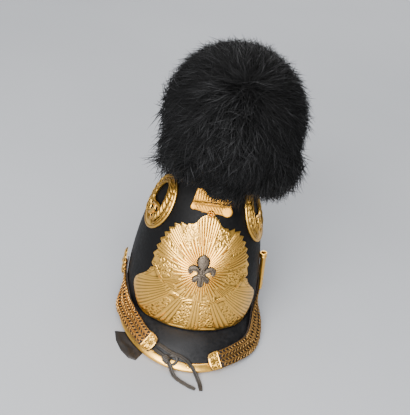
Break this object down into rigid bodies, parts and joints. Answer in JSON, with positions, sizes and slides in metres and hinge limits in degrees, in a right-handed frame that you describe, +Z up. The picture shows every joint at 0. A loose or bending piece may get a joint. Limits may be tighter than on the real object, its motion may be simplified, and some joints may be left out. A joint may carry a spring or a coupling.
{
  "type": "cavalry helmet",
  "caption": "Tall black leather cavalry helmet with brass-bound peak, gilt sunburst plate and lily badge, pierced side wreaths, mail-covered chin straps and a bearskin roll over its crest.",
  "frame": {"origin": "middle of the helmet's foot in plan, on the ground plane of its rim", "axes": "+Z up, -Y towards the front (peak), +X towards the plume socket on the wearer's left"},
  "size_m": [0.215, 0.3664, 0.4108],
  "materials": {
    "gilt_brass": "polished stamped gilt with darker hollows",
    "black_leather": "blacked and waxed, soft sheen",
    "old_silver": "dark oxidised silver",
    "black_fur": "long dense hair",
    "grey_leather": "dry worn thong",
    "brown_leather": "dull dark lining leather"
  },
  "bodies": {
    "root": {"peak_binding": "gilt_brass", "front_plate": "gilt_brass", "crest": "gilt_brass", "crest_rivet": "gilt_brass", "side_wreath_left": "gilt_brass", "side_wreath_right": "gilt_brass", "boss_left": "gilt_brass", "boss_right": "gilt_brass", "plume_socket": "gilt_brass", "chin_chain_left": "gilt_brass", "chin_chain_right": "gilt_brass", "strap_tip_left": "gilt_brass", "strap_tip_right": "gilt_brass", "skull": "black_leather", "peak": "black_leather", "chin_strap_left": "black_leather", "chin_strap_right": "black_leather", "fleur_de_lys": "old_silver", "bearskin": "black_fur", "lace_upper": "grey_leather", "lace_lower": "grey_leather", "lace_knot": "grey_leather", "lining_tab": "brown_leather"}
  },
  "joints": []
}
